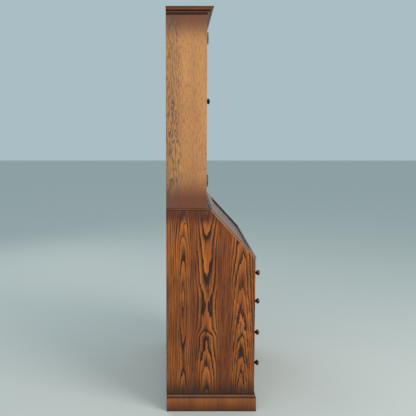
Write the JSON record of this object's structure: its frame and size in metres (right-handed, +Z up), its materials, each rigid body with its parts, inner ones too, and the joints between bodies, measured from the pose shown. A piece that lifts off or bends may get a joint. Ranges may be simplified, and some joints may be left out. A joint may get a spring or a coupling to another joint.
{
  "type": "bureau bookcase",
  "caption": "Slant-front oak writing desk with drawers, a fall-front lid on pull-out supports, pigeonholes, and a glazed two-door bookcase above.",
  "frame": {"origin": "on the floor, in the middle of the overall width and depth", "axes": "+Z up, front faces -Y, +X to the right of someone facing the front"},
  "size_m": [0.959, 0.4786, 1.981],
  "materials": {
    "oak": "satin, stained oak",
    "faded_oak": "satin, sun-faded oak",
    "dark_oak": "satin, dark stained oak",
    "drawer_lining": "bare oak",
    "bronze": "dark patinated",
    "hinge_brass": "aged",
    "door_glass": "clear"
  },
  "bodies": {
    "carcass": {"plinth": "dark_oak", "base_top": "dark_oak", "cornice": "dark_oak", "bookcase_side_left": "faded_oak", "bookcase_side_right": "faded_oak", "base_side_left": "oak", "base_side_right": "oak", "base_back": "oak", "base_bottom": "oak", "bottom_rail": "oak", "dust_board_1": "oak", "dust_board_2": "oak", "dust_board_3": "oak", "writing_bed": "oak", "loper_divider_left": "oak", "loper_divider_right": "oak", "pigeonhole_unit": "oak", "bookcase_back": "oak", "bookcase_bottom": "oak", "bookcase_top": "oak", "shelf_1": "oak", "shelf_2": "oak", "lid_hinge_left_bed_leaf": "hinge_brass", "lid_hinge_right_bed_leaf": "hinge_brass", "door_hinge_left_upper_case_leaf": "hinge_brass", "door_hinge_left_lower_case_leaf": "hinge_brass", "door_hinge_right_upper_case_leaf": "hinge_brass", "door_hinge_right_lower_case_leaf": "hinge_brass"},
    "lid": {"fall_lid": "dark_oak", "lid_hinge_left_lid_leaf": "hinge_brass", "lid_hinge_right_lid_leaf": "hinge_brass"},
    "left_loper": {"loper_left": "oak"},
    "right_loper": {"loper_right": "oak"},
    "drawer_1": {"drawer_1_front": "oak", "drawer_1_box": "drawer_lining", "drawer_1_knob_left": "bronze", "drawer_1_knob_right": "bronze"},
    "drawer_2": {"drawer_2_front": "oak", "drawer_2_box": "drawer_lining", "drawer_2_knob_left": "bronze", "drawer_2_knob_right": "bronze"},
    "drawer_3": {"drawer_3_front": "oak", "drawer_3_box": "drawer_lining", "drawer_3_knob_left": "bronze", "drawer_3_knob_right": "bronze"},
    "drawer_4": {"drawer_4_front": "oak", "drawer_4_box": "drawer_lining", "drawer_4_knob_left": "bronze", "drawer_4_knob_right": "bronze"},
    "left_small_drawer": {"small_drawer_left": "oak"},
    "right_small_drawer": {"small_drawer_right": "oak"},
    "left_door": {"door_left_frame": "oak", "door_left_glass": "door_glass", "door_hinge_left_upper_door_leaf": "hinge_brass", "door_hinge_left_lower_door_leaf": "hinge_brass"},
    "right_door": {"door_right_frame": "oak", "door_right_glass": "door_glass", "door_hinge_right_upper_door_leaf": "hinge_brass", "door_hinge_right_lower_door_leaf": "hinge_brass", "door_knob": "bronze"}
  },
  "joints": [
    {"name": "lid_hinge", "type": "hinge", "parent": "carcass", "child": "lid", "pos_m": [0, -0.19275, 0.757], "axis": [1, 0, 0], "range_deg": [0, 132.4]},
    {"name": "left_door_hinge", "type": "hinge", "parent": "carcass", "child": "left_door", "pos_m": [-0.43125, 0.03835, 1.5], "axis": [0, 0, -1], "range_deg": [0, 165]},
    {"name": "right_door_hinge", "type": "hinge", "parent": "carcass", "child": "right_door", "pos_m": [0.43125, 0.03835, 1.5], "axis": [0, 0, 1], "range_deg": [0, 165]},
    {"name": "drawer_1_slide", "type": "slide", "parent": "carcass", "child": "drawer_1", "axis": [0, -1, 0], "range_m": [0, 0.3]},
    {"name": "drawer_2_slide", "type": "slide", "parent": "carcass", "child": "drawer_2", "axis": [0, -1, 0], "range_m": [0, 0.3]},
    {"name": "drawer_3_slide", "type": "slide", "parent": "carcass", "child": "drawer_3", "axis": [0, -1, 0], "range_m": [0, 0.3]},
    {"name": "drawer_4_slide", "type": "slide", "parent": "carcass", "child": "drawer_4", "axis": [0, -1, 0], "range_m": [0, 0.3]},
    {"name": "left_loper_slide", "type": "slide", "parent": "carcass", "child": "left_loper", "axis": [0, -1, 0], "range_m": [0, 0.24]},
    {"name": "right_loper_slide", "type": "slide", "parent": "carcass", "child": "right_loper", "axis": [0, -1, 0], "range_m": [0, 0.24]},
    {"name": "left_small_drawer_slide", "type": "slide", "parent": "carcass", "child": "left_small_drawer", "axis": [0, -1, 0], "range_m": [0, 0.11]},
    {"name": "right_small_drawer_slide", "type": "slide", "parent": "carcass", "child": "right_small_drawer", "axis": [0, -1, 0], "range_m": [0, 0.11]}
  ]
}
